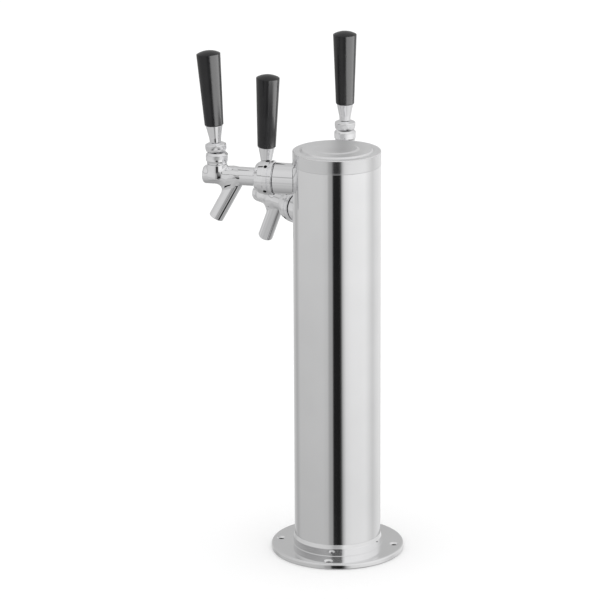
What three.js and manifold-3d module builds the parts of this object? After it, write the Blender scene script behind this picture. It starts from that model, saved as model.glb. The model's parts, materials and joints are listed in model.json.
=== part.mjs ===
// Three-faucet beer tap tower: a 3 in stainless column on a bolt-down flange, with three rear-closing
// faucets. Millimetres, +Z up. The origin is on the column's axis at the counter, and the centre
// faucet points along -Y. A faucet is built along its own +X (outward) and turned into place.
import * as THREE from 'three';
import { mergeVertices } from 'three/addons/utils/BufferGeometryUtils.js';
import Module from 'manifold-3d';

const wasm = await Module();
wasm.setup();

// ---- driving dimensions ----
const INCH = 25.4;
const GAP = 0.3;                       // running and stacking gap between neighbours
const DEG = Math.PI / 180;
const WIDE = 40;                       // facets round the column, flange and cap
const ROUND = 20;                      // round a faucet's outer pieces
const SMALL = 12;                      // round bores and inner pieces

const COLUMN_R = 1.5 * INCH;           // 3 in tube
const COLUMN_WALL = 1.2;
const COLUMN_TOP = 351;
const CAP_RIM = 363.5;                 // the cap's flat rim; its middle stands higher

const FLANGE_R = 58.75;
const FLANGE_T = 5;
const FLANGE_EDGE = 1.6;               // rounding of the flange's rim
const FLANGE_HOLE_R = 34;
const WALL_HOLE_R = 11.6;              // in the column, for a shank
const NECK_R = 39.45;
const NECK_TOP = 15;
const NECK_SHOULDER = 3;               // height of the neck's sloping shoulder
const SCREW_CIRCLE_R = 2 * INCH;
const SCREW_HOLE_R = 2.6;
const SCREW_BEARINGS = [45, 135, 225, 315];
const GASKET = { inner: 36.5, outer: 55, thick: 1.5 };

const FOAM = { inner: 29, outer: 36.3, bottom: 6, top: 270 };

const CAP = { r: 38.4, wall: 1.4, edge: 1, spigotR: 36.5, spigot: 8 };
// The cap's middle rises in two gentle steps, each from its outer to its inner radius.
const CAP_STEPS = [{ outer: 31.8, inner: 28.8, rise: 1.2 }, { outer: 20, inner: 16.3, rise: 0.8 }];
const SEAL = { inner: 36.9, outer: 37.9, bottom: 351.1, top: 351.6 };

const SPREAD = 40;                     // angle between neighbouring faucets, degrees
const SIDE_Z = 335.6;                  // shank centreline of the two outer faucets
const CENTRE_Z = 301.4;                // and of the centre one

const SHANK_R = 11.1;                  // 7/8 in shank thread
const SHANK_BORE = 4;
const SHANK = { tail: 24, shoulder: 55.2, face: 61.6, headR: 13.2, recessR: 5.6, recess: 56.6 };
const SLEEVE = { inner: 11.5, outer: 13.7, edge: 0.8, end: 54.9 };
const NUT = { r: 15.3, edge: 0.5, back: 55.6, groove: 57.7, band: 68.3, front: 73, hole: 8.5 };
const NUT_CONE = [12.4, 71.2];         // radius and place of the cone's front
const SPANNER = { u: 60.5, r: 1.5, depth: 1.5, count: 4, first: 52 };

const BARREL = { r: 8.1, edge: 2.4, dome: 0.4, front: 119.4, back: 63.4, flangeR: 12.6, flangeEnd: 66.6 };
const CHAMBER = { r: 5.6, seat: 76, seatR: 3.6, seatEnd: 79 };
const BORE = { r: 4.9, end: 116 };
const SPOUT = { r: 6.6, bore: 4.4, tilt: 29, start: 87.6, drop: 38.4 };
const BEND = { r: 8.5, u: 110.9, width: 6.4, root: 88, heel: [97, -22] };
const LEVER_U = 107.4;                 // the lever stands this far from the column's axis
const NECK = { r: 8.9, top: 10, spigotR: 8.2, spigotTop: 14, bore: 7.4, floor: 8.2, wellR: 5.2, well: 5.4 };

const PIVOT_Z = 12;                    // ball centre above the shank centreline
const BALL_R = 6;
const TIP = { r: 2.1, arm: 12.3, stem: 1.8 };
const STUD_R = 2.6;
const MAX_TILT = 30;                   // from vertical, at the open stop
// The bonnet's domed top is part of a sphere about the pivot, and the collar's cup rides over it.
const BONNET = { r: 9.7, bottom: 10.6, flare: 14.8, dome: 11.6, lip: 5.5, seat: 15.7, mouth: 8.1 };
// The plastic seats above and below the ball: outer radius, faces, and their radii at the ball.
const BALL_SEAT = { r: 7.1, low: 8.5, lowR: 5.55, high: 10.6, highR: 6.15 };
const FRICTION_SEAT = { r: 7.1, low: 13.4, lowR: 6.15, high: 15.4, highR: 5.3 };
const COLLAR = { r: 9.3, rimR: 8.7, bottom: 21.7, shoulder: 27.4, top: 28.9, topR: 6, cup: 11.9 };
const FERRULE = { bottom: 29.3, top: 44.2, r0: 4.9, r1: 7.4 };
const HANDLE = { bottom: 44.5, rim: 107.7, top: 110.2, r0: 8.2, r1: 10.5, edge: 1.2, crown: 2.6 };
const STUD_TOP = 57;

const PISTON = { r: 4.6, back: 100.6, front: 115.4 };
const SLOT_PLAY = 1.3;                 // the lever's free play each way in the shaft's slot
const SLOT = { floor: -3.3, flare: 0.5, flareTop: 2.4 };
const ROD_R = 2.2;
const ROD_END_R = 1.6;
const WASHER = { inner: 1.9, r: 5, back: 72.7, front: 75.7 };
const ROD_NUT = { r: 3.6, back: 69.4, front: 72.4 };

const LOCK_NUT = { back: 26.4, front: 30.7, r: 15 };
const SADDLE = { back: 31, r: 14.4 };    // the saddle washer's flat back; its front follows the tube
const TAIL = { nutBack: 16.4, nutFront: 22.4, nutR: 9, end: 23.6, elbow: 12.4, r: 3.6, bore: 2.2, drop: 27 };
const BARB = { count: 2, pitch: 6, slope: 3.2, rise: 0.7, plain: 14 };

// Each faucet: its side, its bearing from the front, its height and the lean its lever rests at.
const FAUCETS = [
  { side: 'right', bearing: SPREAD, z: SIDE_Z, lean: 4 },
  { side: 'center', bearing: 0, z: CENTRE_Z, lean: -2.6 },
  { side: 'left', bearing: -SPREAD, z: SIDE_Z, lean: -1 },
];

// ---- materials ----
const finish = (color, roughness, metalness) => new THREE.MeshStandardMaterial({ color, roughness, metalness });
const STEEL = finish(0xcfd0d2, 0.22, 1);
const CHROME = finish(0xd8dadc, 0.1, 1);
const BRASS = finish(0xb79a5a, 0.35, 1);
const BLACK = finish(0x0b0b0c, 0.2, 0);
const RUBBER = finish(0x1a1a1a, 0.8, 0);
const PLASTIC = finish(0xe6e4dd, 0.5, 0);
const FOAM_WHITE = finish(0xd9d9d4, 0.95, 0);

// ---- solid tools ----
function toSolid(geometry) {
  const bare = geometry.clone();
  for (const name of Object.keys(bare.attributes)) {
    if (name !== 'position') bare.deleteAttribute(name);
  }
  const merged = mergeVertices(bare, 1e-4);
  const points = merged.attributes.position;
  const corners = merged.index.array;
  const kept = [];
  let volume = 0;
  const [a, b, c] = [new THREE.Vector3(), new THREE.Vector3(), new THREE.Vector3()];
  for (let i = 0; i < corners.length; i += 3) {
    const [p, q, r] = [corners[i], corners[i + 1], corners[i + 2]];
    if (p === q || q === r || r === p) continue;
    kept.push(p, q, r);
    a.fromBufferAttribute(points, p);
    b.fromBufferAttribute(points, q);
    c.fromBufferAttribute(points, r);
    volume += a.dot(b.cross(c));
  }
  if (volume < 0) kept.reverse();
  const mesh = new wasm.Mesh({
    numProp: 3,
    vertProperties: new Float32Array(points.array),
    triVerts: new Uint32Array(kept),
  });
  return new wasm.Manifold(mesh);
}

function fromSolid(solid) {
  const mesh = solid.getMesh();
  const geometry = new THREE.BufferGeometry();
  geometry.setAttribute('position', new THREE.BufferAttribute(new Float32Array(mesh.vertProperties), 3));
  geometry.setIndex(new THREE.BufferAttribute(new Uint32Array(mesh.triVerts), 1));
  geometry.computeVertexNormals();
  return geometry;
}

const fold = (method) => (first, ...rest) =>
  fromSolid(rest.reduce((solid, next) => solid[method](toSolid(next)), toSolid(first)));
const join = fold('add');
const cut = fold('subtract');
const overlap = fold('intersect');

// A solid of revolution about Z from a closed outline of [radius, height] points.
function turned(outline, segments = ROUND) {
  const points = outline.map(([r, z]) => new THREE.Vector2(Math.max(r, 0), z));
  if (THREE.ShapeUtils.area(points) < 0) points.reverse();
  const onAxis = outline[0][0] === 0 && outline.at(-1)[0] === 0;
  if (!onAxis) points.push(points[0].clone());
  const lathe = new THREE.LatheGeometry(points, segments);
  return lathe.rotateX(Math.PI / 2);
}

const rod = (r, z0, z1, segments = ROUND) => turned([[0, z0], [r, z0], [r, z1], [0, z1]], segments);
const ring = (inner, outer, z0, z1, segments = ROUND) =>
  turned([[inner, z0], [outer, z0], [outer, z1], [inner, z1]], segments);
const outward = (geometry) => geometry.rotateY(Math.PI / 2);    // from the Z axis to the X axis
const hexRing = (inner, r, z0, z1, segments = SMALL) =>
  cut(outward(rod(r, z0, z1, 6)), outward(rod(inner, z0 - 1, z1 + 1, segments)));

// An outline in the X-Z plane, given a thickness across Y.
function slab(outline, width) {
  const shape = new THREE.Shape(outline.map(([x, z]) => new THREE.Vector2(x, z)));
  const geometry = new THREE.ExtrudeGeometry(shape, { depth: width, bevelEnabled: false });
  return geometry.rotateX(Math.PI / 2).translate(0, width / 2, 0);
}

const arc = (cx, cz, r, from, to, steps) =>
  Array.from({ length: steps + 1 }, (_, i) => {
    const angle = (from + ((to - from) * i) / steps) * DEG;
    return [cx + r * Math.cos(angle), cz + r * Math.sin(angle)];
  });

const tower = new THREE.Group();

function piece(name, geometry, material, parent = tower) {
  const mesh = new THREE.Mesh(geometry, material);
  mesh.name = name;
  parent.add(mesh);
  return mesh;
}

// ---- base, column and cap ----
const screwHoles = (r, z0, z1) => SCREW_BEARINGS.map((bearing) =>
  rod(r, z0, z1, SMALL).translate(SCREW_CIRCLE_R, 0, 0).rotateZ(bearing * DEG));

function baseFlange() {
  const [grooveIn, grooveOut, grooveTop] = [GASKET.inner - GAP, GASKET.outer + GAP, GASKET.thick + GAP];
  const body = turned([
    [FLANGE_HOLE_R, 0], [grooveIn, 0], [grooveIn, grooveTop], [grooveOut, grooveTop], [grooveOut, 0],
    [FLANGE_R - FLANGE_EDGE / 2, 0], [FLANGE_R, FLANGE_EDGE / 2],
    ...arc(FLANGE_R - FLANGE_EDGE, FLANGE_T - FLANGE_EDGE, FLANGE_EDGE, 0, 90, 2),
    [NECK_R, FLANGE_T], [NECK_R, NECK_TOP - NECK_SHOULDER],
    [COLUMN_R + 2 * GAP, NECK_TOP], [COLUMN_R + GAP, NECK_TOP],
    [COLUMN_R + GAP, FLANGE_T], [FLANGE_HOLE_R, FLANGE_T],
  ], WIDE);
  return cut(body, ...screwHoles(SCREW_HOLE_R, -1, FLANGE_T + 1));
}

const baseGasket = () => cut(
  ring(GASKET.inner, GASKET.outer, 0, GASKET.thick, WIDE),
  ...screwHoles(SCREW_HOLE_R + GAP, -1, GASKET.thick + 1),
);

const bearingAngle = (faucet) => (faucet.bearing - 90) * DEG;

function columnTube() {
  const tube = ring(COLUMN_R - COLUMN_WALL, COLUMN_R, FLANGE_T + GAP, COLUMN_TOP, WIDE);
  const holes = FAUCETS.map((faucet) => {
    const hole = outward(rod(WALL_HOLE_R, COLUMN_R / 2, 2 * COLUMN_R, SMALL));
    return hole.rotateZ(bearingAngle(faucet)).translate(0, 0, faucet.z);
  });
  return cut(tube, ...holes);
}

function topCap() {
  const under = CAP_RIM - CAP.wall;
  const skirt = SEAL.top + 0.1;
  const { r, wall, edge, spigotR } = CAP;
  const crown = [];
  let level = CAP_RIM;
  for (const { outer, inner, rise } of CAP_STEPS) {
    crown.push([outer, level], [inner, level + rise]);
    level += rise;
  }
  const shell = turned([
    [0, under], [r - wall, under], [r - wall, skirt], [r, skirt],
    ...arc(r - edge, CAP_RIM - edge, edge, 0, 90, 2), ...crown, [0, level],
  ], WIDE);
  const spigotTop = under + 0.4;
  const spigot = ring(spigotR - wall, spigotR, skirt - CAP.spigot, spigotTop, WIDE);
  const link = ring(spigotR - wall, r - wall + 0.4, skirt, spigotTop, WIDE);
  // The spigot is open over its front half, where the shanks' washers and nuts lie.
  const [half, low] = [1.5 * r, skirt - 2 * CAP.spigot];
  const front = slab([[-half, low], [half, low], [half, skirt], [-half, skirt]], half);
  return join(shell, link, cut(spigot, front.translate(0, -half / 2, 0)));
}

piece('base_flange', baseFlange(), STEEL);
piece('base_gasket', baseGasket(), RUBBER);
piece('column_tube', columnTube(), STEEL);
piece('insulation_sleeve', ring(FOAM.inner, FOAM.outer, FOAM.bottom, FOAM.top, WIDE), FOAM_WHITE);
piece('top_cap', topCap(), STEEL);
piece('cap_seal', ring(SEAL.inner, SEAL.outer, SEAL.bottom, SEAL.top, WIDE), RUBBER);

// ---- one faucet's pieces, along +X with the shank centreline at height 0 ----
const shank = () => outward(turned([
  [SHANK_BORE, SHANK.tail], [SHANK_R - 1, SHANK.tail], [SHANK_R, SHANK.tail + 1],
  [SHANK_R, SHANK.shoulder], [SHANK.headR, SHANK.shoulder], [SHANK.headR, SHANK.face],
  [SHANK.recessR, SHANK.face], [SHANK.recessR, SHANK.recess], [SHANK_BORE, SHANK.recess],
]));

function shankCollar() {
  const { inner, outer, edge, end } = SLEEVE;
  const start = COLUMN_R - 8;
  const sleeve = outward(turned([
    [inner, start], [outer, start], [outer, end - edge], [outer - edge, end], [inner, end],
  ]));
  return cut(sleeve, rod(COLUMN_R + GAP, -2 * outer, 2 * outer, WIDE));
}

function couplingNut() {
  const inner = SHANK.headR + GAP;
  const lip = BARREL.flangeEnd + GAP;
  const body = outward(turned([
    [inner, NUT.back], [NUT.r - NUT.edge, NUT.back], [NUT.r, NUT.back + NUT.edge],
    [NUT.r, NUT.groove - GAP], [NUT.r - NUT.edge, NUT.groove], [NUT.r, NUT.groove + GAP],
    [NUT.r, NUT.band], NUT_CONE, [NUT.hole + NUT.edge, NUT.front], [NUT.hole, NUT.front],
    [NUT.hole, lip], [inner, lip],
  ]));
  const holes = Array.from({ length: SPANNER.count }, (_, i) =>
    rod(SPANNER.r, NUT.r - SPANNER.depth, NUT.r + 2, SMALL / 2)
      .translate(SPANNER.u, 0, 0)
      .rotateX((SPANNER.first + (360 * i) / SPANNER.count) * DEG));
  return cut(body, ...holes);
}

function faucetBody() {
  const { r, edge, front, back, flangeR, flangeEnd } = BARREL;
  const barrel = outward(turned([
    [0, back], [flangeR, back], [flangeR, flangeEnd], [r, flangeEnd],
    [r, front - edge], [r - 0.3 * edge, front - 0.3 * edge], [r - edge, front], [0, front + BARREL.dome],
  ]));
  const length = SPOUT.drop / Math.cos(SPOUT.tilt * DEG);
  const place = (geometry) => geometry.rotateY(-SPOUT.tilt * DEG).translate(SPOUT.start, 0, 0);
  const spout = place(rod(SPOUT.r, -length, 0));
  const neck = rod(NECK.r, 0, NECK.top).translate(LEVER_U, 0, 0);
  const neckSpigot = rod(NECK.spigotR, NECK.top - 1, NECK.spigotTop).translate(LEVER_U, 0, 0);
  // A web under the barrel carries the concave bend into the front of the spout.
  const bendZ = -r - BEND.r;
  const web = slab([
    [BEND.root, 2 - r], [BEND.u, 2 - r],
    ...arc(BEND.u, bendZ, BEND.r, 90, 180 + SPOUT.tilt, 6), BEND.heel,
  ], BEND.width);
  const outside = join(barrel, spout, neck, neckSpigot, web);

  const chamber = outward(rod(CHAMBER.r, back - 1, CHAMBER.seat, SMALL));
  const seat = outward(rod(CHAMBER.seatR, CHAMBER.seat - 0.5, CHAMBER.seatEnd, SMALL));
  const bore = outward(rod(BORE.r, CHAMBER.seatEnd - 0.2, BORE.end, SMALL));
  const spoutBore = place(rod(SPOUT.bore, -length - 2, 0, SMALL));
  const ballPocket = turned([
    [0, NECK.well], [NECK.wellR, NECK.well], [NECK.wellR, NECK.floor],
    [NECK.bore, NECK.floor], [NECK.bore, NECK.spigotTop + 1], [0, NECK.spigotTop + 1],
  ]).translate(LEVER_U, 0, 0);
  // The lever's tip swings back under the neck, through a slot that widens downward.
  const reach = (drop) => drop * Math.tan(MAX_TILT * DEG) + TIP.r / Math.cos(MAX_TILT * DEG) + 0.5;
  const [slotTop, slotBottom, ahead] = [NECK.floor + 0.2, 3, TIP.r + 1.1];
  const sweep = slab([
    [LEVER_U + ahead, slotBottom], [LEVER_U + ahead, slotTop],
    [LEVER_U - reach(PIVOT_Z - slotTop), slotTop], [LEVER_U - reach(PIVOT_Z - slotBottom), slotBottom],
  ], 2 * TIP.r + 1.2);
  return cut(outside, chamber, seat, bore, spoutBore, ballPocket, sweep);
}

function bonnet() {
  const { r, bottom, flare, dome, lip, seat, mouth } = BONNET;
  const [from, to] = [Math.acos(r / dome) / DEG, Math.acos(mouth / dome) / DEG];
  return turned([
    [NECK.spigotR + GAP, bottom], [NECK.r, bottom], [r, flare], ...arc(0, PIVOT_Z, dome, from, to, 3),
    [lip, seat], [NECK.bore, seat], [NECK.bore, NECK.spigotTop + GAP],
    [NECK.spigotR + GAP, NECK.spigotTop + GAP],
  ]);
}

const seatRing = ({ r, low, lowR, high, highR }) =>
  turned([[lowR, low], [r, low], [r, high], [highR, high]], SMALL);

// The lever and what is screwed to it, with the ball's centre as origin.
function lever() {
  const ball = arc(0, 0, BALL_R, -72, 64, 6);
  return turned([
    ...arc(0, -TIP.arm, TIP.r, -90, 36, 3).map(([x, z], i) => [i === 0 ? 0 : x, z]),
    [TIP.stem, -BALL_R - 1], ...ball,
    [STUD_R, STUD_TOP - PIVOT_Z], [0, STUD_TOP - PIVOT_Z],
  ], SMALL);
}

const above = (z) => z - PIVOT_Z;

function leverCollar() {
  const { r, rimR, bottom, shoulder, top, topR, cup } = COLLAR;
  const rimAngle = Math.asin(above(bottom) / cup) / DEG;
  const boreAngle = Math.acos((STUD_R + GAP) / cup) / DEG;
  return turned([
    ...arc(0, 0, cup, rimAngle, boreAngle, 4), [STUD_R + GAP, above(top)],
    [topR, above(top)], [r, above(shoulder)], [r, above(bottom) + 1.5], [rimR, above(bottom)],
  ]);
}

const ferrule = () => turned([
  [STUD_R + GAP, above(FERRULE.bottom)], [FERRULE.r0, above(FERRULE.bottom)],
  [FERRULE.r1, above(FERRULE.top)], [STUD_R + GAP, above(FERRULE.top)],
]);

function handle() {
  const { bottom, rim, top, r0, r1, edge, crown } = HANDLE;
  const threadTop = above(STUD_TOP + 1);
  return turned([
    [0, threadTop], [STUD_R + GAP, threadTop], [STUD_R + GAP, above(bottom)],
    [r0 - edge, above(bottom)], [r0, above(bottom) + edge], [r1, above(rim)],
    [r1 - crown, above(top) - 0.3 * crown], [0, above(top)],
  ]);
}

function shaft() {
  const { r, back, front } = PISTON;
  const body = outward(turned([
    [0, ROD_NUT.back - 2 * GAP], [ROD_END_R, ROD_NUT.back - 2 * GAP], [ROD_END_R, WASHER.front + GAP],
    [ROD_R, WASHER.front + GAP], [ROD_R, back - 1.5], [r, back], [r, front], [0, front],
  ], SMALL));
  // The slot widens upward at its front, where the tilted lever crosses it.
  const halfSlot = TIP.r + SLOT_PLAY;
  const top = r + 1;
  const slot = slab([
    [LEVER_U - halfSlot, SLOT.floor], [LEVER_U + halfSlot, SLOT.floor], [LEVER_U + halfSlot, SLOT.flare],
    [LEVER_U + halfSlot + SLOT.flareTop, top], [LEVER_U - halfSlot, top],
  ], 2 * TIP.r + 1);
  return cut(body, slot);
}

function tailpiece() {
  const { elbow, r, bore, drop, end } = TAIL;
  const across = outward(rod(r, elbow, end, SMALL));
  const corner = new THREE.SphereGeometry(r, SMALL, SMALL / 2).translate(elbow, 0, 0);
  const barbs = [];
  for (let k = 0; k < BARB.count; k += 1) {
    const z = BARB.pitch * k - drop;
    barbs.push([r - BARB.rise / 2, z], [r + BARB.rise, z + BARB.slope]);
  }
  const foot = -drop - 1;
  const stem = [[0, foot], [r - BARB.rise, foot], ...barbs, [r, BARB.plain - drop], [r, 0], [0, 0]];
  const down = turned(stem, SMALL).translate(elbow, 0, 0);
  const boreAcross = outward(rod(bore, elbow, end + 1, SMALL));
  const boreCorner = new THREE.SphereGeometry(bore, SMALL, SMALL / 2).translate(elbow, 0, 0);
  const boreDown = rod(bore, foot - 1, 0, SMALL).translate(elbow, 0, 0);
  return cut(join(across, corner, down), boreAcross, boreCorner, boreDown);
}

const seatWasher = () => outward(ring(WASHER.inner, WASHER.r, WASHER.back, WASHER.front, SMALL));
const tailNut = () => hexRing(TAIL.r + GAP, TAIL.nutR, TAIL.nutBack, TAIL.nutFront);
const lockNut = () => hexRing(SHANK_R + GAP, LOCK_NUT.r, LOCK_NUT.back, LOCK_NUT.front, ROUND);
const shaftNut = () => hexRing(WASHER.inner, ROD_NUT.r, ROD_NUT.back, ROD_NUT.front);
const saddleWasher = () => overlap(
  outward(ring(SHANK_R + GAP, SADDLE.r, SADDLE.back, COLUMN_R)),
  rod(COLUMN_R - COLUMN_WALL - GAP, -2 * SADDLE.r, 2 * SADDLE.r, WIDE),
);

// ---- the three faucets ----
for (const faucet of FAUCETS) {
  const { side, z, lean } = faucet;
  const line = new THREE.Group();
  line.rotation.z = bearingAngle(faucet);
  line.position.z = z;
  tower.add(line);

  piece(`shank_${side}`, shank(), CHROME, line);
  piece(`shank_collar_${side}`, shankCollar(), CHROME, line);
  piece(`coupling_nut_${side}`, couplingNut(), CHROME, line);
  piece(`saddle_washer_${side}`, saddleWasher(), STEEL, line);
  piece(`lock_nut_${side}`, lockNut(), BRASS, line);
  piece(`tailpiece_${side}`, tailpiece(), STEEL, line);
  piece(`tailpiece_nut_${side}`, tailNut(), BRASS, line);
  piece(`faucet_body_${side}`, faucetBody(), CHROME, line);
  piece(`shaft_${side}`, shaft(), BRASS, line);
  piece(`seat_washer_${side}`, seatWasher(), RUBBER, line);
  piece(`shaft_nut_${side}`, shaftNut(), BRASS, line);

  const head = new THREE.Group();
  head.position.set(LEVER_U, 0, 0);
  line.add(head);
  piece(`ball_washer_${side}`, seatRing(BALL_SEAT), PLASTIC, head);
  piece(`friction_washer_${side}`, seatRing(FRICTION_SEAT), PLASTIC, head);
  piece(`bonnet_${side}`, bonnet(), CHROME, head);

  const swing = new THREE.Group();
  swing.position.set(0, 0, PIVOT_Z);
  swing.rotation.y = lean * DEG;
  head.add(swing);
  piece(`lever_${side}`, lever(), CHROME, swing);
  piece(`lever_collar_${side}`, leverCollar(), CHROME, swing);
  piece(`ferrule_${side}`, ferrule(), CHROME, swing);
  piece(`handle_${side}`, handle(), BLACK, swing);
}

export default tower;
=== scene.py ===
import json
import math

import bmesh
import bpy
import numpy as np
from mathutils import Matrix, Vector


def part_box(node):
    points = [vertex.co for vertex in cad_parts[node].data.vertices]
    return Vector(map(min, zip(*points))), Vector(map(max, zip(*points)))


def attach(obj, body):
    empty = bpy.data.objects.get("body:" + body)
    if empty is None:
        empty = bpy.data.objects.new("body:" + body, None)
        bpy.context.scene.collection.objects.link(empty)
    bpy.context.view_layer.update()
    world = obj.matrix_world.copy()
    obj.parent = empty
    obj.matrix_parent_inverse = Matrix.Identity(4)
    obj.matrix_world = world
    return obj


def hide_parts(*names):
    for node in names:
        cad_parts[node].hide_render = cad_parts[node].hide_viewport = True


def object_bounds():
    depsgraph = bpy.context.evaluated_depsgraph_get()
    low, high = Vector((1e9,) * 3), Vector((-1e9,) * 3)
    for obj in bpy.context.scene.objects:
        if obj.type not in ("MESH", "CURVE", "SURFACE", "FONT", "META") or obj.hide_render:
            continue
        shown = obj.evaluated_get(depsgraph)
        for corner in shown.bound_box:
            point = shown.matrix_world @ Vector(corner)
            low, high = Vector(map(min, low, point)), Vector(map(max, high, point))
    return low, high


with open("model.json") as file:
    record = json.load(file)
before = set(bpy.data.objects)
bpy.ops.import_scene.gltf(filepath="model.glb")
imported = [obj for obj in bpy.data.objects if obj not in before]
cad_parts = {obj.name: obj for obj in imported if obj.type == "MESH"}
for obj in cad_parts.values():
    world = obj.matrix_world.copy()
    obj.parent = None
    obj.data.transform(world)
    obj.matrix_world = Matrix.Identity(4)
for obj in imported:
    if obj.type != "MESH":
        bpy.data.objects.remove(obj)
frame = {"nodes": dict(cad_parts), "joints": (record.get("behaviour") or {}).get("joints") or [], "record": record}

cad_low, cad_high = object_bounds()

MM = 0.001
SIDES = ("right", "center", "left")
UP = Vector((0, 0, 1))
WORLD = Matrix.Identity(4)


# ---- where things are, read from the frame ----
def points_of(node):
    """A CAD node's own corner points, each once, in metres."""
    flat = np.zeros(len(frame["nodes"][node].data.vertices) * 3)
    frame["nodes"][node].data.vertices.foreach_get("co", flat)
    return np.unique(flat.reshape(-1, 3).round(6), axis=0)


def span(node, matrix):
    """A node's lowest and highest place along a matrix's Z axis and its radius about it, in mm."""
    local = points_of(node) @ np.array(matrix.inverted().to_3x3()).T
    local += np.array(matrix.inverted().translation)
    radius = np.hypot(local[:, 0], local[:, 1]).max()
    return local[:, 2].min() / MM, local[:, 2].max() / MM, radius / MM


def axes(origin, x, z):
    """The matrix that puts a piece's own axes at origin, with x and z along those directions."""
    y = z.cross(x)
    return Matrix((
        (x.x, y.x, z.x, origin.x),
        (x.y, y.y, z.y, origin.y),
        (x.z, y.z, z.z, origin.z),
        (0, 0, 0, 1),
    ))


def joint(name):
    return next(j for j in frame["joints"] if j["name"] == name)


class Faucet:
    """The three axes of one faucet: its shank line, its upright boss and its leaning lever."""

    def __init__(self, side):
        self.side = side
        low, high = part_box(f"coupling_nut_{side}")
        pivot = Vector(joint(f"lever_pivot_{side}")["pos_m"])
        outward = Vector((pivot.x, pivot.y, 0)).normalized()
        across = UP.cross(outward)
        centre = Vector((0, 0, (low.z + high.z) / 2))
        self.line = axes(centre, across, outward)              # Z runs outward along the shank
        self.upright = axes(centre, outward, UP)               # X runs outward, Z up
        self.boss = axes(Vector((pivot.x, pivot.y, centre.z)), outward, UP)
        handle = Vector(points_of(f"handle_{side}").mean(axis=0))
        lean = (handle - pivot).normalized()
        self.lever = axes(pivot, across.cross(lean), lean)     # Z runs up the lean of the lever


# ---- mesh tools ----
ARC_STEP = math.radians(9)


def rounded(corners):
    """The outline through corners given as (radius, height) or (radius, height, rounding)."""
    outline = []
    for i, corner in enumerate(corners):
        here = Vector(corner[:2])
        if len(corner) < 3:
            outline.append(here)
            continue
        back = (Vector(corners[i - 1][:2]) - here).normalized()
        ahead = (Vector(corners[(i + 1) % len(corners)][:2]) - here).normalized()
        half = back.angle(ahead) / 2
        centre = here + (back + ahead).normalized() * (corner[2] / math.sin(half))
        spoke = here + back * (corner[2] / math.tan(half)) - centre
        turn = math.copysign(math.pi - 2 * half, back.cross(ahead))
        steps = max(2, math.ceil(abs(turn) / ARC_STEP))
        for k in range(steps + 1):
            outline.append(centre + Matrix.Rotation(-turn * k / steps, 2) @ spoke)
    return outline


def new_object(name, mesh_or_bm, matrix=None):
    if isinstance(mesh_or_bm, bmesh.types.BMesh):
        mesh = bpy.data.meshes.new(name)
        bmesh.ops.recalc_face_normals(mesh_or_bm, faces=mesh_or_bm.faces)
        mesh_or_bm.to_mesh(mesh)
        mesh_or_bm.free()
    else:
        mesh = mesh_or_bm
    if matrix is not None:
        mesh.transform(matrix)
    obj = bpy.data.objects.new(name, mesh)
    bpy.context.scene.collection.objects.link(obj)
    return obj


def lathe(name, corners, matrix, segments):
    """A solid of revolution about the matrix's Z axis, from a closed outline in mm."""
    outline = rounded(corners)
    bm = bmesh.new()
    rings = []
    for r, z in outline:
        if r < 1e-6:
            rings.append([bm.verts.new((0, 0, z * MM))])
            continue
        turns = [2 * math.pi * k / segments for k in range(segments)]
        rings.append([bm.verts.new((r * MM * math.cos(t), r * MM * math.sin(t), z * MM)) for t in turns])
    for i, ring in enumerate(rings):
        above = rings[(i + 1) % len(rings)]
        if len(ring) == len(above) == 1:
            continue
        for k in range(segments):
            n = k + 1
            low_edge = [ring[k % len(ring)], ring[n % len(ring)]]
            high_edge = [above[n % len(above)], above[k % len(above)]]
            bm.faces.new(list(dict.fromkeys(low_edge + high_edge)))
    return new_object(name, bm, matrix)


def apply_modifiers(obj):
    graph = bpy.context.evaluated_depsgraph_get()
    mesh = bpy.data.meshes.new_from_object(obj.evaluated_get(graph))
    old = obj.data
    obj.modifiers.clear()
    obj.data = mesh
    bpy.data.meshes.remove(old)


def cut(obj, *cutters):
    """Takes each cutter out of obj, and removes the cutter."""
    for cutter in cutters:
        modifier = obj.modifiers.new("cut", "BOOLEAN")
        modifier.operation = "DIFFERENCE"
        modifier.solver = "EXACT"
        modifier.object = cutter
        apply_modifiers(obj)
        bpy.data.objects.remove(cutter)


CREASE = math.radians(32)
ROUND_WITHIN = 0.06     # a round face's normal leans sideways from its spoke by less than this


def smooth(obj, matrix):
    """Smooth shading that keeps flat faces flat, and round ones true to the matrix's Z axis."""
    mesh = obj.data
    mesh.polygons.foreach_set("use_smooth", [True] * len(mesh.polygons))
    mesh.set_sharp_from_angle(angle=CREASE)
    modifier = obj.modifiers.new("normals", "WEIGHTED_NORMAL")
    modifier.weight = 100
    modifier.keep_sharp = True
    apply_modifiers(obj)
    mesh = obj.data
    normals = np.zeros(len(mesh.loops) * 3)
    mesh.corner_normals.foreach_get("vector", normals)
    corners = np.zeros(len(mesh.loops), int)
    mesh.loops.foreach_get("vertex_index", corners)
    places = np.zeros(len(mesh.vertices) * 3)
    mesh.vertices.foreach_get("co", places)
    turn = np.array(matrix.to_3x3())
    normals = normals.reshape(-1, 3) @ turn
    places = (places.reshape(-1, 3) - np.array(matrix.translation)) @ turn
    spoke = places[corners] * (1, 1, 0)
    length = np.linalg.norm(spoke, axis=1)
    spoke /= np.maximum(length, 1e-9)[:, None]
    side = np.cross((0, 0, 1), spoke)
    stray = (normals * side).sum(axis=1)
    is_round = (np.abs(stray) < ROUND_WITHIN) & (length > 1e-6)
    normals[is_round] -= stray[is_round, None] * side[is_round]
    normals /= np.linalg.norm(normals, axis=1)[:, None]
    mesh.normals_split_custom_set(normals @ turn.T)


# ---- materials ----
def node_tree(name):
    made = bpy.data.materials.new(name)
    made.use_nodes = True
    tree = made.node_tree
    return made, tree, tree.nodes["Principled BSDF"]


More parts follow.
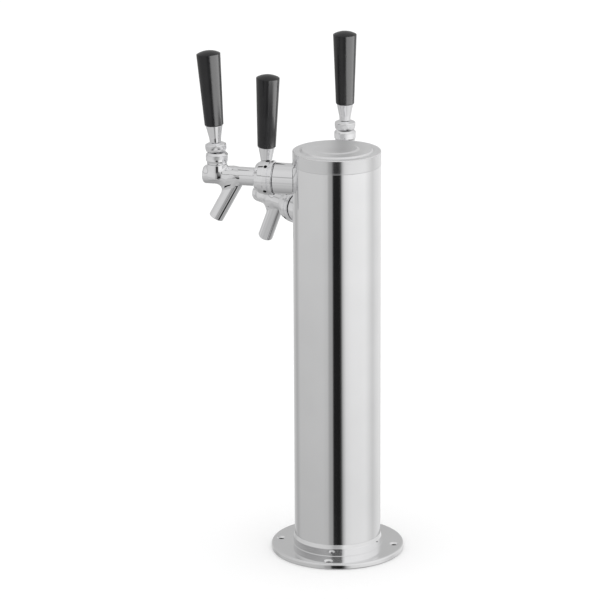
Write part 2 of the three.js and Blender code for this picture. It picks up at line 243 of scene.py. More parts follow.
def add(tree, kind, **values):
    """A node with its properties and input sockets set by name."""
    node = tree.nodes.new(kind)
    for key, value in values.items():
        if hasattr(node, key):
            setattr(node, key, value)
        else:
            node.inputs[key.replace("_", " ")].default_value = value
    return node


def grain(tree, scale, detail=3.0, stretch=(1, 1, 1)):
    """Noise over the piece's own coordinates, stretched along an axis for a brushed look."""
    where = add(tree, "ShaderNodeTexCoord")
    mapping = add(tree, "ShaderNodeMapping", Scale=stretch)
    noise = add(tree, "ShaderNodeTexNoise", Scale=scale, Detail=detail)
    tree.links.new(where.outputs["Object"], mapping.inputs["Vector"])
    tree.links.new(mapping.outputs["Vector"], noise.inputs["Vector"])
    return noise.outputs["Fac"]


def spread(tree, source, low, high):
    """Maps a 0 to 1 signal to a range."""
    node = add(tree, "ShaderNodeMapRange", To_Min=low, To_Max=high)
    tree.links.new(source, node.inputs["Value"])
    return node.outputs["Result"]


def tint(tree, source, dark, light):
    """Maps a 0 to 1 signal to a colour between two."""
    ramp = add(tree, "ShaderNodeValToRGB")
    ramp.color_ramp.elements[0].color = (*dark, 1)
    ramp.color_ramp.elements[1].color = (*light, 1)
    ramp.color_ramp.elements[0].position = 0.3
    ramp.color_ramp.elements[1].position = 0.7
    tree.links.new(source, ramp.inputs["Fac"])
    return ramp.outputs["Color"]


def bump(tree, shader, source, distance):
    node = add(tree, "ShaderNodeBump", Distance=distance)
    tree.links.new(source, node.inputs["Height"])
    tree.links.new(node.outputs["Normal"], shader.inputs["Normal"])


HAZE_SCALE = 22


def metal(name, dark, light, rough, grain_scale, stretch=(1, 1, 1), depth=0.0):
    """A metal whose colour drifts slowly, and whose roughness carries a fine grain as well."""
    made, tree, shader = node_tree(name)
    shader.inputs["Metallic"].default_value = 1
    haze = grain(tree, HAZE_SCALE)
    streak = grain(tree, grain_scale, 4, stretch)
    both = add(tree, "ShaderNodeMath", operation="ADD")
    tree.links.new(haze, both.inputs[0])
    tree.links.new(streak, both.inputs[1])
    tree.links.new(tint(tree, haze, dark, light), shader.inputs["Base Color"])
    half = add(tree, "ShaderNodeMath", operation="MULTIPLY")
    half.inputs[1].default_value = 0.5
    tree.links.new(both.outputs[0], half.inputs[0])
    tree.links.new(spread(tree, half.outputs[0], *rough), shader.inputs["Roughness"])
    if depth:
        bump(tree, shader, streak, depth)
    return made


def dull(name, dark, light, rough, grain_scale, depth):
    """A matt moulded or foamed surface."""
    made, tree, shader = node_tree(name)
    fleck = grain(tree, grain_scale, 5)
    tree.links.new(tint(tree, fleck, dark, light), shader.inputs["Base Color"])
    tree.links.new(spread(tree, fleck, *rough), shader.inputs["Roughness"])
    bump(tree, shader, fleck, depth)
    return made


def gloss_black():
    """The handles' black plastic."""
    made, tree, shader = node_tree("gloss_black")
    shader.inputs["Specular IOR Level"].default_value = 0.5
    haze = grain(tree, 60, 4)
    colour = tint(tree, haze, (0.004, 0.004, 0.0045), (0.007, 0.007, 0.0075))
    tree.links.new(colour, shader.inputs["Base Color"])
    tree.links.new(spread(tree, haze, 0.20, 0.28), shader.inputs["Roughness"])
    bump(tree, shader, grain(tree, 35, 2), 0.00002)
    return made


def grey(level):
    """A grey of that level, a touch cold as steel is."""
    return (level, level, level + 0.005)


# Names, dark and light colours, ranges of roughness, scales of grain, and depths of bump in metres.
ALONG_TUBE, ROUND_CAP, ALONG_LATHE = (1, 1, 0.02), (1, 1, 30), (1, 1, 0.1)
MATERIALS = {
    "stainless": metal("polished_stainless", grey(0.87), grey(0.91), (0.06, 0.11), 900, ALONG_TUBE),
    "cap": metal("brushed_cap", grey(0.76), grey(0.86), (0.11, 0.18), 40, ROUND_CAP, 0.000008),
    "chrome": metal("chrome", (0.93, 0.93, 0.94), (0.96, 0.96, 0.97), (0.03, 0.06), 120),
    "cap_top": metal("satin_cap", grey(0.88), grey(0.95), (0.36, 0.44), 60, depth=0.000006),
    "inner": metal(
        "machined_steel", (0.52, 0.52, 0.53), (0.62, 0.62, 0.63), (0.25, 0.4), 400, ALONG_LATHE, 0.00002),
    "brass": metal("brass", (0.62, 0.45, 0.20), (0.72, 0.54, 0.26), (0.2, 0.38), 260, depth=0.00002),
    "rubber": dull("rubber", (0.012, 0.012, 0.012), (0.03, 0.03, 0.03), (0.6, 0.85), 900, 0.00003),
    "nylon": dull("nylon", (0.70, 0.69, 0.64), (0.80, 0.79, 0.75), (0.35, 0.55), 500, 0.00002),
    "foam": dull("foam", (0.55, 0.55, 0.52), (0.74, 0.74, 0.70), (0.85, 1.0), 420, 0.0003),
    # Painted shade: a near-black for the spanner holes' inner faces, standing in for the shadow deep inside them.
    "shadow": dull("hole_painted_shade", (0.002, 0.002, 0.002), (0.006, 0.006, 0.006), (0.8, 0.95), 600, 0.00001),
    "black": gloss_black(),
}


def dress(obj, look, second="shadow"):
    """Gives a piece its material, and a second one to the faces marked for it."""
    kinds = np.zeros(len(obj.data.polygons), int)
    obj.data.polygons.foreach_get("material_index", kinds)
    obj.data.materials.clear()
    obj.data.materials.append(MATERIALS[look])
    if kinds.any():
        obj.data.materials.append(MATERIALS[second])
        obj.data.polygons.foreach_set("material_index", kinds)


def body_of(node):
    """The body that a CAD node moves with."""
    return next(body for body, nodes in frame["record"]["behaviour"]["bodies"].items() if node in nodes)


def stand_in(obj, node, look, second="shadow"):
    """obj takes the place of a CAD node: it gets its finish, it joins the node's body, and the node is hidden."""
    dress(obj, look, second)
    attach(obj, body_of(node))
    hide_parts(node)


# ---- base, column and cap ----
SCREW_BEARINGS = (45, 135, 225, 315)
SCREW_CIRCLE = 50.8
SCREW_HOLE = 2.6
COUNTERSINK = 1.5
BASE = {"plate": 5, "bore": 34, "neck_wall": 1.35, "shoulder": 3.4, "gap": 0.3, "groove": 36.2, "lip": 0.06}


def rod(name, r, low, high, matrix, segments):
    """A round bar between two heights on the matrix's Z axis, in mm."""
    return lathe(name, [(0, low), (r, low), (r, high), (0, high)], matrix, segments)


def two_looks(obj, index):
    """Gives obj two material places, chrome then shadow, and sets every face to one of them."""
    obj.data.materials.append(MATERIALS["chrome"])
    obj.data.materials.append(MATERIALS["shadow"])
    obj.data.polygons.foreach_set("material_index", [index] * len(obj.data.polygons))
    return obj


def make_base():
    bottom, top, rim = span("base_flange", WORLD)
    _, gasket_top, gasket_rim = span("base_gasket", WORLD)
    _, _, column_r = span("column_tube", WORLD)
    plate, bore, gap, groove = BASE["plate"], BASE["bore"], BASE["gap"], BASE["groove"]
    neck, lip, inner = column_r + BASE["neck_wall"], column_r + BASE["lip"], column_r + gap
    recess_r, recess_top = gasket_rim + gap, gasket_top + gap
    obj = lathe("base_plate", [
        (bore, bottom, 0.3), (groove, bottom), (groove, recess_top), (recess_r, recess_top),
        (recess_r, bottom), (rim, bottom, 0.8), (rim, plate, 1.6), (neck, plate, 0.4),
        (neck, top - BASE["shoulder"], 2.0), (lip + 0.14, top, 0.1), (lip, top - 0.12),
        (inner, top - 0.6), (inner, plate), (bore, plate, 0.3),
    ], WORLD, segments=192)
    holes = []
    mouth = SCREW_HOLE + COUNTERSINK
    for bearing in SCREW_BEARINGS:
        turn = Matrix.Rotation(math.radians(bearing), 4, "Z")
        holes.append(lathe("hole", [
            (0, bottom - 1), (SCREW_HOLE, bottom - 1), (SCREW_HOLE, plate - COUNTERSINK), (mouth, plate),
            (mouth, plate + 1), (0, plate + 1),
        ], turn @ Matrix.Translation((SCREW_CIRCLE * MM, 0, 0)), segments=48))
    cut(obj, *holes)
    smooth(obj, WORLD)
    stand_in(obj, "base_flange", "stainless")


def make_column(faucets):
    bottom, top, r = span("column_tube", WORLD)
    wall, hole, reach = 1.2, 11.6, 16
    hole_from, hole_to = 20, 60
    # Rings above and below each hole keep the holes' shading out of the rest of the tube.
    levels = sorted({round(f.line.translation.z / MM + d, 3) for f in faucets for d in (-reach, reach)})
    inner = r - wall
    obj = lathe("column_shell", [
        (inner, bottom, 0.2), (r, bottom, 0.2), *[(r, z) for z in levels], (r, top, 0.4), (inner, top, 0.2),
        *[(inner, z) for z in reversed(levels)],
    ], WORLD, segments=256)
    cut(obj, *[rod("hole", hole, hole_from, hole_to, f.line, segments=64) for f in faucets])
    smooth(obj, WORLD)
    stand_in(obj, "column_tube", "stainless")


CAP_WALL = 1.4
SPIGOT_R = 36.5
CAP_RISES = (1.2, 0.8)
CAP_STEPS = ((31.7, 30.2), (19.8, 17.6))     # outer and inner radius of each rise


def make_cap():
    low, top, r = span("top_cap", WORLD)
    _, seal_top, _ = span("cap_seal", WORLD)
    _, column_top, column_r = span("column_tube", WORLD)
    band, lip = seal_top + 0.1, column_top + 0.12
    rim = top - sum(CAP_RISES)
    ledge = rim + CAP_RISES[0]
    under = rim - CAP_WALL
    spigot = SPIGOT_R - CAP_WALL
    (foot, brow), (inner_foot, inner_brow) = CAP_STEPS
    obj = lathe("cap_shell", [
        (0, under), (spigot, under, 0.6), (spigot, low, 0.3), (SPIGOT_R, low, 0.3), (SPIGOT_R, band),
        (column_r - 0.1, band), (column_r - 0.1, lip), (r - 0.15, lip), (r, lip + 0.3, 0.2), (r, lip + 1.0),
        (r - 0.06, lip + 1.15, 0.1), (r - 0.06, rim, 0.9), (foot + 0.5, rim, 0.3), (foot, rim - 0.35, 0.3),
        (brow, ledge, 0.8), (inner_foot, ledge, 1.0), (inner_brow, top, 1.4), (0, top),
    ], WORLD, segments=192)
    # The spigot is open over its front half, where the shanks' washers and nuts lie.
    reach, drop = 60, 20
    notch = bmesh.new()
    bmesh.ops.create_cube(notch, size=1)
    box = new_object("notch", notch, Matrix.Diagonal((2 * reach * MM, reach * MM, drop * MM, 1)))
    box.data.transform(Matrix.Translation((0, -reach / 2 * MM, (band - drop / 2) * MM)))
    cut(obj, box)
    smooth(obj, WORLD)
    upper = (rim - 0.5) * MM
    is_top = [face.normal.z > 0.3 and face.center.z > upper for face in obj.data.polygons]
    obj.data.polygons.foreach_set("material_index", is_top)
    stand_in(obj, "top_cap", "cap", "cap_top")


# ---- one faucet ----
def flute(obj, matrix, low, high, count, depth):
    """Fine upright grooves round a turned piece, between two heights in mm."""
    into, out = matrix.inverted(), matrix
    for vertex in obj.data.vertices:
        place = into @ vertex.co
        z = place.z / MM
        if not low <= z <= high:
            continue
        inward = depth * (0.5 - 0.5 * math.cos(count * math.atan2(place.y, place.x)))
        across = math.hypot(place.x, place.y)
        place.xy *= 1 - inward * MM / across
        vertex.co = out @ place


def add_fine(name, side, corners, matrix, look, segments=96, cutters=(), flutes=None):
    """A turned piece in the place of the CAD node of the same name."""
    obj = lathe(f"{name}_{side}_form", corners, matrix, segments)
    if cutters:
        cut(two_looks(obj, 0), *cutters)
    if flutes:
        flute(obj, matrix, *flutes)
    smooth(obj, matrix)
    stand_in(obj, f"{name}_{side}", look)


def make_shank_collar(f):
    _, end, r = span(f"shank_collar_{f.side}", f.line)
    _, _, column_r = span("column_tube", WORLD)
    bore, gap, start, ring = 11.5, 0.3, 30, end - 14
    column = rod("column", column_r + gap, -start, start, Matrix.Translation(f.line.translation), 256)
    add_fine("shank_collar", f.side, [
        (bore, start), (r, start), (r, ring), (r, end, 1.0), (bore, end, 0.2),
    ], f.line, "chrome", segments=160, cutters=[two_looks(column, 0)])


# Places along the shank line and radii: the groove behind the band of spanner holes, and the cone.
NUT = {"inner": 13.5, "lip": 66.9, "hole": 8.5, "groove": 58.9, "deep": 1.2, "band": 63.2, "cone": 68.1}
NUT_NOSE = (12.4, 71.2)
SPANNER_HOLES = {"r": 1.6, "depth": 1.5, "at": 61.3, "first": 52, "count": 4}


def make_coupling_nut(f):
    back, front, r = span(f"coupling_nut_{f.side}", f.line)
    inner, lip, hole = NUT["inner"], NUT["lip"], NUT["hole"]
    groove, band, floor_r = NUT["groove"], NUT["band"], r - NUT["deep"]
    corners = [
        (inner, back, 0.2), (r - 0.2, back, 0.6), (r - 0.1, groove - 0.7, 0.25),
        (floor_r, groove - 0.35, 0.1), (floor_r, groove + 0.35, 0.1), (r, groove + 0.7, 0.2),
        (r, band - 0.3, 0.15), (r - 0.5, band, 0.05), (r - 0.35, band + 0.3, 0.15),
        (r - 1.1, NUT["cone"], 1.8), (*NUT_NOSE, 1.0), (hole + 0.9, front, 0.5),
        (hole, front, 0.2), (hole, lip), (inner, lip),
    ]
    spanner, drills = SPANNER_HOLES, []
    outward = Matrix.Rotation(math.radians(90), 4, "Y")
    for k in range(spanner["count"]):
        turn = Matrix.Rotation(math.radians(spanner["first"] + 360 * k / spanner["count"]), 4, "Z")
        spot = f.line @ turn @ Matrix.Translation((0, 0, spanner["at"] * MM)) @ outward
        drill = rod("hole", spanner["r"], r - spanner["depth"], r + 2, spot, segments=40)
        # The drill's faces carry the painted-shade material, so each spanner hole's inside is painted dark as
        # shadow.
        drills.append(two_looks(drill, 1))
    add_fine("coupling_nut", f.side, corners, f.line, "chrome", segments=160, cutters=drills)


def sphere_arc(r, first, last, steps, centre=0.0):
    """Points of an arc about the axis, at angles above the level through its centre."""
    turns = [first + (last - first) * k / steps for k in range(steps + 1)]
    return [(r * math.cos(t), centre + r * math.sin(t)) for t in turns]


PIVOT_UP = 12           # the lever's ball stands this far above the shank line
# The bonnet's domed top and the collar's cup are both parts of spheres about the ball.
BONNET = {"dome": 11.6, "mouth": 8.1, "lip": 5.5, "seat": 15.7, "bore": 7.4, "step": 14.3, "skirt": 8.5}
COLLAR = {"cup": 11.9, "bore": 2.9, "top": 6.0}


def make_bonnet(f):
    low, _, r = span(f"bonnet_{f.side}", f.boss)
    b = BONNET
    dome = sphere_arc(b["dome"], math.acos(r / b["dome"]), math.acos(b["mouth"] / b["dome"]), 8, PIVOT_UP)
    add_fine("bonnet", f.side, [
        (b["skirt"], low), (r - 0.9, low, 0.2), (r - 0.75, low + 1.4, 0.6), (r, low + 2.6, 0.8),
        (r, low + 4.3), (r, low + 4.7), (r, low + 7.3), *dome,
        (b["lip"], b["seat"], 0.2), (b["bore"], b["seat"]), (b["bore"], b["step"]), (b["skirt"], b["step"]),
    ], f.boss, "chrome", segments=288, flutes=(low + 4.5, low + 7.5, 72, 0.12))


def make_lever_collar(f):
    low, high, r = span(f"lever_collar_{f.side}", f.lever)
    cup, bore = COLLAR["cup"], COLLAR["bore"]
    shoulder = high - 1.5
    add_fine("lever_collar", f.side, [
        *sphere_arc(cup, math.asin(low / cup), math.acos(bore / cup), 8), (bore, high, 0.1),
        (COLLAR["top"], high, 0.5), (r, shoulder, 1.2), (r - 0.1, low + 2.0, 0.8), (r - 0.6, low, 0.2),
    ], f.lever, "chrome", segments=384, flutes=(low + 1.6, shoulder - 0.7, 96, 0.11))


def make_ferrule(f):
    low, high, r = span(f"ferrule_{f.side}", f.lever)
    bore, foot = 2.9, 4.9
    add_fine("ferrule", f.side, [
        (bore, low), (foot, low, 0.3), (foot + 0.35, low + 4, 12), (r, high, 0.3), (bore, high),
    ], f.lever, "chrome")


def make_handle(f):
    low, high, r = span(f"handle_{f.side}", f.lever)
    bore, foot, crown, thread_top = 2.9, 8.2, 2.5, 46
    rim = high - crown
    shoulder = r - 0.5
    dome_r = (shoulder ** 2 + crown ** 2) / (2 * crown)
    wide = math.asin(shoulder / dome_r)
    dome = sphere_arc(dome_r, math.pi / 2 - wide, math.pi / 2, 10, high - dome_r)
    add_fine("handle", f.side, [
        (0, thread_top), (bore, thread_top), (bore, low), (foot, low, 0.6), (r, rim - 0.4, 0.5), *dome,
    ], f.lever, "black", segments=128)


LEVER = {"stud": 2.6, "stem": 1.8, "tip": 2.1}


def make_lever(f):
    """The lever's tip, ball and threaded stud, turned as one."""
    low, high, ball = span(f"lever_{f.side}", f.lever)
    stud, stem, tip = LEVER["stud"], LEVER["stem"], LEVER["tip"]
    neck = math.radians(64)
    add_fine("lever", f.side, [
        *sphere_arc(tip, math.radians(-90), math.radians(30), 10, low + tip), (stem, -ball - 1.5, 0.5),
        *sphere_arc(ball, math.radians(-72), math.radians(60), 22),
        (ball * math.cos(neck), ball * math.sin(neck)), (stud, 8), (stud, high, 0.5), (0, high),
    ], f.lever, "chrome", segments=64)


# ---- the faucet body, as the zero surface of a distance field in mm ----
SPOUT_TILT = math.radians(29)
SPOUT_START = 87.6      # where the spout's axis leaves the barrel's
LEVER_U = 107.4         # where the boss and the lever stand on the barrel
BARREL = {"r": 8.1, "back": 60, "edge": 2.4, "dome": 0.4, "dome_from": 100}
FLANGE = {"r": 12.6, "end": 66.6, "edge": 0.3}
BOSS = {"r": 8.9, "low": -3, "high": 10, "edge": 0.4}
SPIGOT = {"r": 8.2, "low": 8, "high": 14, "edge": 0.3}
SPOUT = {"r": 6.6, "bore": 4.4, "edge": 0.6}
FILLETS = {"boss": 1.5, "flange": 0.5, "mouth": 0.4}
BEND = {"mean": 4.2, "swing": 4.4, "least": 0.6, "most": 8.6}      # fillet between barrel and spout
BORES_ALONG = ((50, 76, 5.6), (75, 79, 3.6), (78.8, 116, 4.9))     # from, to and radius, on the barrel
BORES_UP = ((5.4, 20, 5.2), (8.2, 20, 7.4))                        # and in the boss
TIP_SLOT = {"wide": 2.7, "low": 3.0, "high": 8.4, "ahead": 3.2, "room": 0.5, "tilt": math.radians(30)}


def capped(along, across, low, high, r, edge=0.0):
    """Distance to a round bar from low to high, with rounded ends."""
    a = np.abs(along - (low + high) / 2) - (high - low) / 2 + edge
    b = across - r + edge
    return np.hypot(np.maximum(a, 0), np.maximum(b, 0)) + np.minimum(np.maximum(a, b), 0) - edge


def blended(a, b, radius):
    """The union of two distances with a fillet of that radius."""
    near = np.hypot(np.maximum(radius - a, 0), np.maximum(radius - b, 0))
    return np.maximum(radius, np.minimum(a, b)) - near


def tip_slot(x, y, z):
    """Distance to the slot that the lever's tip swings back through, wider at its foot."""
    t = TIP_SLOT
    sin, cos = math.sin(t["tilt"]), math.cos(t["tilt"])
    behind = (LEVER_U - t["room"] - x) * cos - LEVER["tip"] - (PIVOT_UP - z) * sin
    sides = (np.abs(y) - t["wide"], t["low"] - z, z - t["high"], x - LEVER_U - t["ahead"], behind)
    return np.maximum.reduce(sides)


def body_distance(p, sizes):
    """Distance to the faucet body, with x along the barrel and z up, from its own sizes in mm."""
    x, y, z = p.T
    across = np.hypot(y, z)
    boss_across = np.hypot(x - LEVER_U, y)
    sin, cos = math.sin(SPOUT_TILT), math.cos(SPOUT_TILT)
    down = (x - SPOUT_START) * sin - z * cos
    sideways = (x - SPOUT_START) * cos + z * sin
    spout_across = np.hypot(sideways, y)
    dome = np.maximum(BARREL["dome"] * (1 - (across / BARREL["r"]) ** 2), 0) * (x > BARREL["dome_from"])
    front = sizes["front"] - BARREL["dome"]
    barrel = capped(x - dome, across, BARREL["back"], front, BARREL["r"], BARREL["edge"])
    flange = capped(x, across, sizes["back"], FLANGE["end"], FLANGE["r"], FLANGE["edge"])
    boss = capped(z, boss_across, BOSS["low"], BOSS["high"], BOSS["r"], BOSS["edge"])
    spigot = capped(z, boss_across, SPIGOT["low"], SPIGOT["high"], SPIGOT["r"], SPIGOT["edge"])
    spout = capped(down, spout_across, 0, sizes["spout"], SPOUT["r"], SPOUT["edge"])
    bend = np.clip(BEND["mean"] + BEND["swing"] * sideways / SPOUT["r"], BEND["least"], BEND["most"])
    whole = blended(barrel, spout, bend)
    whole = blended(whole, boss, FILLETS["boss"])
    whole = np.minimum(whole, spigot)
    whole = np.maximum(blended(whole, flange, FILLETS["flange"]), sizes["back"] - x)
    for low, high, r in BORES_ALONG:
        whole = np.maximum(whole, -capped(x, across, low, high, r))
    for low, high, r in BORES_UP:
        whole = np.maximum(whole, -capped(z, boss_across, low, high, r))
    whole = np.maximum(whole, -tip_slot(x, y, z))
    mouth = capped(down, spout_across, 0, sizes["spout"] + 10, SPOUT["bore"])
    return -blended(-whole, mouth, FILLETS["mouth"])


SLOPE_STEP = 0.02
VOXEL = 0.5
PULLS, LONGEST_PULL, FLATTEST = 6, 0.25, 0.3


def body_slope(p, sizes):
    """The gradient of body_distance, from small steps each way."""
    steps = np.eye(3) * SLOPE_STEP
    rises = [body_distance(p + s, sizes) - body_distance(p - s, sizes) for s in steps]
    return np.stack(rises, 1) / (2 * SLOPE_STEP)


def make_faucet_body(f):
    """The CAD body remeshed finely, with each point pulled onto the rounded shape above."""
    node = f"faucet_body_{f.side}"
    obj = new_object(f"{node}_form", frame["nodes"][node].data.copy())
    obj.data.transform(f.upright.inverted())
    low = np.array([v.co for v in obj.data.vertices]).min(axis=0) / MM
    high = np.array([v.co for v in obj.data.vertices]).max(axis=0) / MM
    rim = SPOUT["r"] * math.sin(SPOUT_TILT)
    sizes = {"front": high[0], "back": low[0], "spout": (-low[2] - rim) / math.cos(SPOUT_TILT)}
    weld = bmesh.new()
    weld.from_mesh(obj.data)
    bmesh.ops.remove_doubles(weld, verts=weld.verts, dist=1e-6)
    weld.to_mesh(obj.data)
    weld.free()
    modifier = obj.modifiers.new("remesh", "REMESH")
    modifier.mode = "VOXEL"
    modifier.voxel_size = VOXEL * MM
    apply_modifiers(obj)
    mesh = obj.data
    flat = np.zeros(len(mesh.vertices) * 3)
    mesh.vertices.foreach_get("co", flat)
    p = flat.reshape(-1, 3) / MM
    for _ in range(PULLS):
        slope = body_slope(p, sizes)
        steepness = np.maximum((slope * slope).sum(axis=1), FLATTEST)
        pull = body_distance(p, sizes)[:, None] * slope / steepness[:, None]
        p -= np.clip(pull, -LONGEST_PULL, LONGEST_PULL)
    mesh.vertices.foreach_set("co", (p * MM).ravel())
    mesh.update()
    mesh.polygons.foreach_set("use_smooth", [True] * len(mesh.polygons))
    slope = body_slope(p, sizes)
    slope /= np.linalg.norm(slope, axis=1)[:, None]
    mesh.transform(f.upright)
    turn = np.array(f.upright.to_3x3())
    mesh.normals_split_custom_set_from_vertices((slope @ turn.T).tolist())
    stand_in(obj, node, "chrome")


FAUCETS = [Faucet(side) for side in SIDES]
make_base()
make_column(FAUCETS)
make_cap()
for faucet in FAUCETS:
    for make in (make_shank_collar, make_coupling_nut, make_bonnet, make_lever_collar, make_ferrule,
                 make_handle, make_lever, make_faucet_body):
        make(faucet)

# CAD nodes that need no finer shape, and their looks.
KEPT = {
    "base_gasket": "rubber", "insulation_sleeve": "foam", "cap_seal": "rubber", "shank": "chrome",
    "saddle_washer": "inner", "lock_nut": "brass", "tailpiece": "inner", "tailpiece_nut": "brass",
    "shaft": "brass", "seat_washer": "rubber", "shaft_nut": "brass", "ball_washer": "nylon",
    "friction_washer": "nylon",
}
for kind, look in KEPT.items():
    for node in (kind, *[f"{kind}_{side}" for side in SIDES]):
        if node in frame["nodes"]:
            dress(frame["nodes"][node], look)


# ---- studio ----
VIEW_AZIMUTH = math.radians(144)
CAMERA_AWAY, CAMERA_UP = 2.7255, 1.0411
YAW, PITCH, ROLL = math.radians(-0.68), math.radians(16.59), math.radians(-0.31)
LENS = 195.46


def make_camera():
    camera = bpy.data.objects.new("camera", bpy.data.cameras.new("camera"))
    camera.data.lens = LENS
    camera.data.clip_start, camera.data.clip_end = 0.1, 30
    turn = Matrix.Rotation(VIEW_AZIMUTH, 4, "Z")
    level = Matrix.Rotation(math.pi / 2 - PITCH, 4, "X")
    look = Matrix.Rotation(-YAW, 4, "Z") @ level @ Matrix.Rotation(ROLL, 4, "Z")
    camera.matrix_world = turn @ Matrix.Translation((0, -CAMERA_AWAY, CAMERA_UP)) @ look
    bpy.context.scene.collection.objects.link(camera)
    bpy.context.scene.camera = camera


def ramp(tree, source, stops, low, high):
    """Grey levels at angles in degrees, over a signal in radians."""
    span01 = add(tree, "ShaderNodeMapRange", From_Min=math.radians(low), From_Max=math.radians(high))
    tree.links.new(source, span01.inputs["Value"])
    node = add(tree, "ShaderNodeValToRGB")
    elements = node.color_ramp.elements
    while len(elements) > 1:
        elements.remove(elements[-1])
    for k, (angle, level) in enumerate(stops):
        position = (angle - low) / (high - low)
        element = elements[0] if k == 0 else elements.new(position)
        element.position = position
        element.color = (level, level, level, 1)
    tree.links.new(span01.outputs["Result"], node.inputs["Fac"])
    return node.outputs["Color"]


# The brightness that polished metal mirrors: a light tent with a black gap towards the camera, brighter
# on the right, and darker below. Each layer is an elevation with its levels round the camera's bearing,
# left negative, all in degrees.
TENT_DEEP = [
    (-180, 0.38), (-60, 0.46), (-18, 0.52), (-4, 0.46), (12, 0.40), (19, 0.03), (24, 0.012),
    (58, 0.012), (66, 0.10), (72, 0.40), (84, 0.45), (108, 0.36), (180, 0.38),
]
TENT_LEDGE = [
    (-180, 0.50), (-140, 0.45), (-90, 0.33), (-60, 0.33), (-31, 0.38), (-20, 0.33), (-11, 0.05),
    (10, 0.05), (14, 0.60), (20, 0.90), (60, 0.95), (120, 0.85), (150, 0.58), (180, 0.50),
]
TENT = [
    (-90, [(-180, 0.36), (180, 0.36)]),
    (-64, [(-180, 0.26), (-110, 0.36), (-40, 0.43), (8, 0.45), (50, 0.55), (64, 0.12), (110, 0.12),
           (135, 0.34), (180, 0.26)]),
    (-53, TENT_DEEP),
    (-44, TENT_DEEP),
    (-38, [(-180, 0.42), (-60, 0.49), (-10, 0.50), (-1, 0.45), (4, 0.38), (16, 0.40), (24, 0.62),
           (60, 0.66), (100, 0.66), (130, 0.52), (180, 0.42)]),
    (-29, [(-180, 0.48), (-60, 0.56), (-12, 0.57), (-3, 0.36), (1, 0.07), (8, 0.07), (13, 0.42),
           (24, 0.74), (70, 0.80), (110, 0.68), (140, 0.58), (180, 0.48)]),
    (-21.5, [(-180, 0.66), (-165, 0.62), (-132, 0.40), (-116, 0.49), (-40, 0.51), (-25, 0.47),
             (-21.5, 0.35), (-12.5, 0.29), (-10, 0.03), (-8, 0.013), (7, 0.013), (11, 0.06),
             (17, 0.42), (24, 0.68), (40, 0.75), (82, 0.77), (110, 0.60), (128, 0.70), (150, 0.76),
             (180, 0.66)]),
    (-14, [(-180, 0.78), (-165, 0.70), (-135, 0.44), (-118, 0.63), (-40, 0.65), (-25, 0.59),
           (-21.5, 0.41), (-12.5, 0.34), (-10, 0.03), (-8, 0.012), (7, 0.012), (10, 0.06), (14, 0.54),
           (20, 0.80), (36, 0.90), (78, 0.93), (106, 0.68), (122, 0.78), (150, 0.86), (180, 0.78)]),
    (0, [(-180, 0.56), (-120, 0.60), (-60, 0.66), (-18, 0.60), (-9, 0.22), (7, 0.22), (14, 0.74),
         (60, 0.85), (100, 0.76), (140, 0.74), (180, 0.56)]),
    (15, [(-180, 0.52), (-140, 0.52), (-60, 0.68), (-18, 0.66), (-6, 0.56), (4, 0.58), (16, 0.80),
          (90, 0.80), (135, 0.68), (160, 0.54), (180, 0.52)]),
    (19.5, TENT_LEDGE),
    (21.5, TENT_LEDGE),
    (25, [(-180, 0.52), (-140, 0.52), (-60, 0.68), (-18, 0.66), (-6, 0.60), (4, 0.62), (16, 0.80),
          (90, 0.78), (135, 0.66), (160, 0.54), (180, 0.52)]),
    (60, [(-180, 0.56), (-60, 0.68), (0, 0.70), (30, 0.80), (100, 0.76), (150, 0.60), (180, 0.56)]),
    (72, [(-180, 0.64), (180, 0.66)]),
    (90, [(-180, 0.50), (180, 0.50)]),
]
# Black plastic shows the right softbox by itself, brighter than the tent, as polished metal can't.
HANDLE_LIGHT = {"bearing": 61.5, "away": 1.6, "up": 0.0, "wide": 3.7, "tall": 2.5, "watts": 112}


MIX_A, MIX_B, MIX_RESULT = 6, 7, 2      # the colour sockets of a mix node, which share their names
PLAIN_LIGHT = 1.12


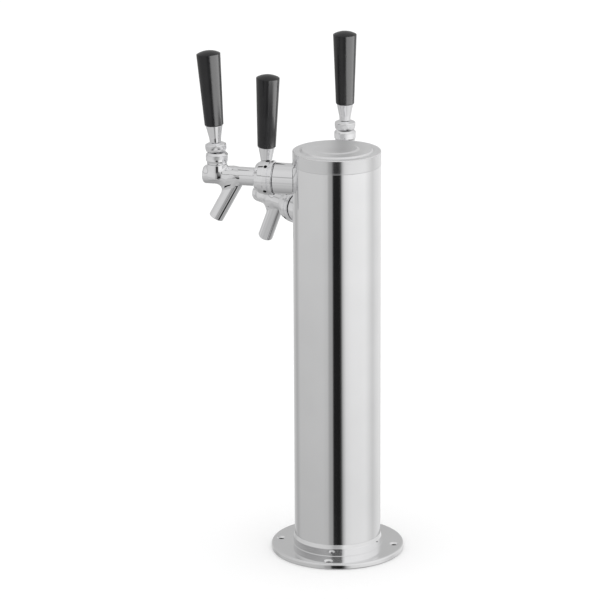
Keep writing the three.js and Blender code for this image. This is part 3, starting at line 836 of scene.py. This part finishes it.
def make_studio():
    """A world that metal mirrors as the tent, and that lights everything else as plain white."""
    world = bpy.data.worlds.new("studio")
    bpy.context.scene.world = world
    world.use_nodes = True
    tree = world.node_tree
    tree.nodes.clear()
    where = add(tree, "ShaderNodeTexCoord")
    turned = add(tree, "ShaderNodeMapping", vector_type="VECTOR", Rotation=(0, 0, math.pi - VIEW_AZIMUTH))
    tree.links.new(where.outputs["Generated"], turned.inputs["Vector"])
    parts = add(tree, "ShaderNodeSeparateXYZ")
    tree.links.new(turned.outputs["Vector"], parts.inputs["Vector"])
    around = add(tree, "ShaderNodeMath", operation="ARCTAN2")
    across = add(tree, "ShaderNodeMath", operation="MULTIPLY")
    across.inputs[1].default_value = -1
    tree.links.new(parts.outputs["X"], across.inputs[0])
    tree.links.new(across.outputs[0], around.inputs[0])
    tree.links.new(parts.outputs["Y"], around.inputs[1])
    height = add(tree, "ShaderNodeMath", operation="ARCSINE")
    tree.links.new(parts.outputs["Z"], height.inputs[0])

    seen = ramp(tree, around.outputs[0], TENT[0][1], -180, 180)
    for (below, _), (above, stops) in zip(TENT, TENT[1:]):
        share = add(tree, "ShaderNodeMapRange", From_Min=math.radians(below), From_Max=math.radians(above))
        tree.links.new(height.outputs[0], share.inputs["Value"])
        mixed = add(tree, "ShaderNodeMix", data_type="RGBA")
        tree.links.new(share.outputs["Result"], mixed.inputs["Factor"])
        tree.links.new(seen, mixed.inputs[MIX_A])
        tree.links.new(ramp(tree, around.outputs[0], stops, -180, 180), mixed.inputs[MIX_B])
        seen = mixed.outputs[MIX_RESULT]

    reflected = add(tree, "ShaderNodeBackground", Strength=1.0)
    tree.links.new(seen, reflected.inputs["Color"])
    plain = add(tree, "ShaderNodeBackground", Color=(1, 1, 1, 1), Strength=PLAIN_LIGHT)
    path = add(tree, "ShaderNodeLightPath")
    choose = add(tree, "ShaderNodeMixShader")
    tree.links.new(path.outputs["Is Glossy Ray"], choose.inputs[0])
    tree.links.new(plain.outputs[0], choose.inputs[1])
    tree.links.new(reflected.outputs[0], choose.inputs[2])
    out = add(tree, "ShaderNodeOutputWorld")
    tree.links.new(choose.outputs[0], out.inputs["Surface"])


def make_handle_light():
    """A softbox on the right that lights the handles alone."""
    side = HANDLE_LIGHT
    light = bpy.data.lights.new("handle_softbox", "AREA")
    light.shape = "RECTANGLE"
    light.size, light.size_y, light.energy = side["wide"], side["tall"], side["watts"]
    lamp = bpy.data.objects.new("handle_softbox", light)
    turn = Matrix.Rotation(VIEW_AZIMUTH + math.radians(side["bearing"]), 4, "Z")
    face = Matrix.Rotation(math.pi / 2, 4, "X")
    lamp.matrix_world = turn @ Matrix.Translation((0, -side["away"], side["up"])) @ face
    bpy.context.scene.collection.objects.link(lamp)
    lit = bpy.data.collections.new("lit_by_softbox")
    for f in FAUCETS:
        lit.objects.link(bpy.data.objects[f"handle_{f.side}_form"])
    lamp.light_linking.receiver_collection = lit
    lamp.light_linking.blocker_collection = lit


FLOOR_DROP = 0.0002


def make_floor():
    """A wide pale sheet just under the gasket and flange, left out of mirrored views."""
    sheet = bmesh.new()
    bmesh.ops.create_grid(sheet, x_segments=8, y_segments=8, size=8)
    floor = new_object("floor", sheet)
    made, tree, shader = node_tree("floor")
    shader.inputs["Base Color"].default_value = (0.97, 0.97, 0.97, 1)
    shader.inputs["Roughness"].default_value = 0.9
    shader.inputs["Specular IOR Level"].default_value = 0.1
    floor.data.materials.append(made)
    floor.location.z = cad_low.z - FLOOR_DROP
    floor.visible_glossy = False


make_camera()
make_studio()
make_handle_light()
make_floor()
bpy.context.scene.view_settings.view_transform = "Standard"
